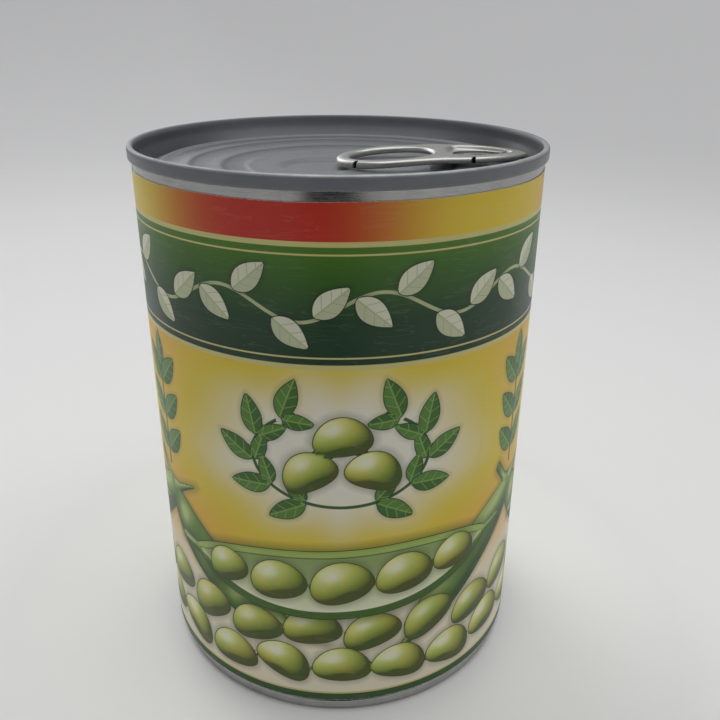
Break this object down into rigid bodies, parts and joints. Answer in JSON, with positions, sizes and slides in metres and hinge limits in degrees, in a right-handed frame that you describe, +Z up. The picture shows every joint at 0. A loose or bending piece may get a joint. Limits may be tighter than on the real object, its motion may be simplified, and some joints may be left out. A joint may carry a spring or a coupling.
{
  "type": "ring-pull food can",
  "caption": "Closed round steel food can with a ring-pull lid, double-seamed ends, a necked foot for stacking and a wrapped printed paper label.",
  "frame": {"origin": "centre of the foot ring that the can stands on", "axes": "+Z up the can's axis, +X from the lid's middle along the ring-pull to its nose, -Y the front of the label, +Y its glued lap"},
  "size_m": [0.0848, 0.0848, 0.1152],
  "materials": {
    "tinplate": "satin",
    "lid_lacquer": "satin",
    "tab_steel": "polished",
    "label_paper": "satin",
    "seam_compound": "matte",
    "beans": "satin"
  },
  "bodies": {
    "can": {"can_body": "tinplate", "easy_open_end": "lid_lacquer", "bottom_end": "tinplate", "seam_gasket_top": "seam_compound", "seam_gasket_bottom": "seam_compound", "tab_tongue": "tab_steel", "paper_label": "label_paper", "beans_in_brine": "beans"},
    "ring_pull": {"pull_tab": "tab_steel"}
  },
  "joints": [
    {"name": "tab_lift", "type": "hinge", "parent": "can", "child": "ring_pull", "pos_m": [0.0351, 0, 0.11175], "axis": [0, 1, 0], "range_deg": [0, 14]}
  ]
}
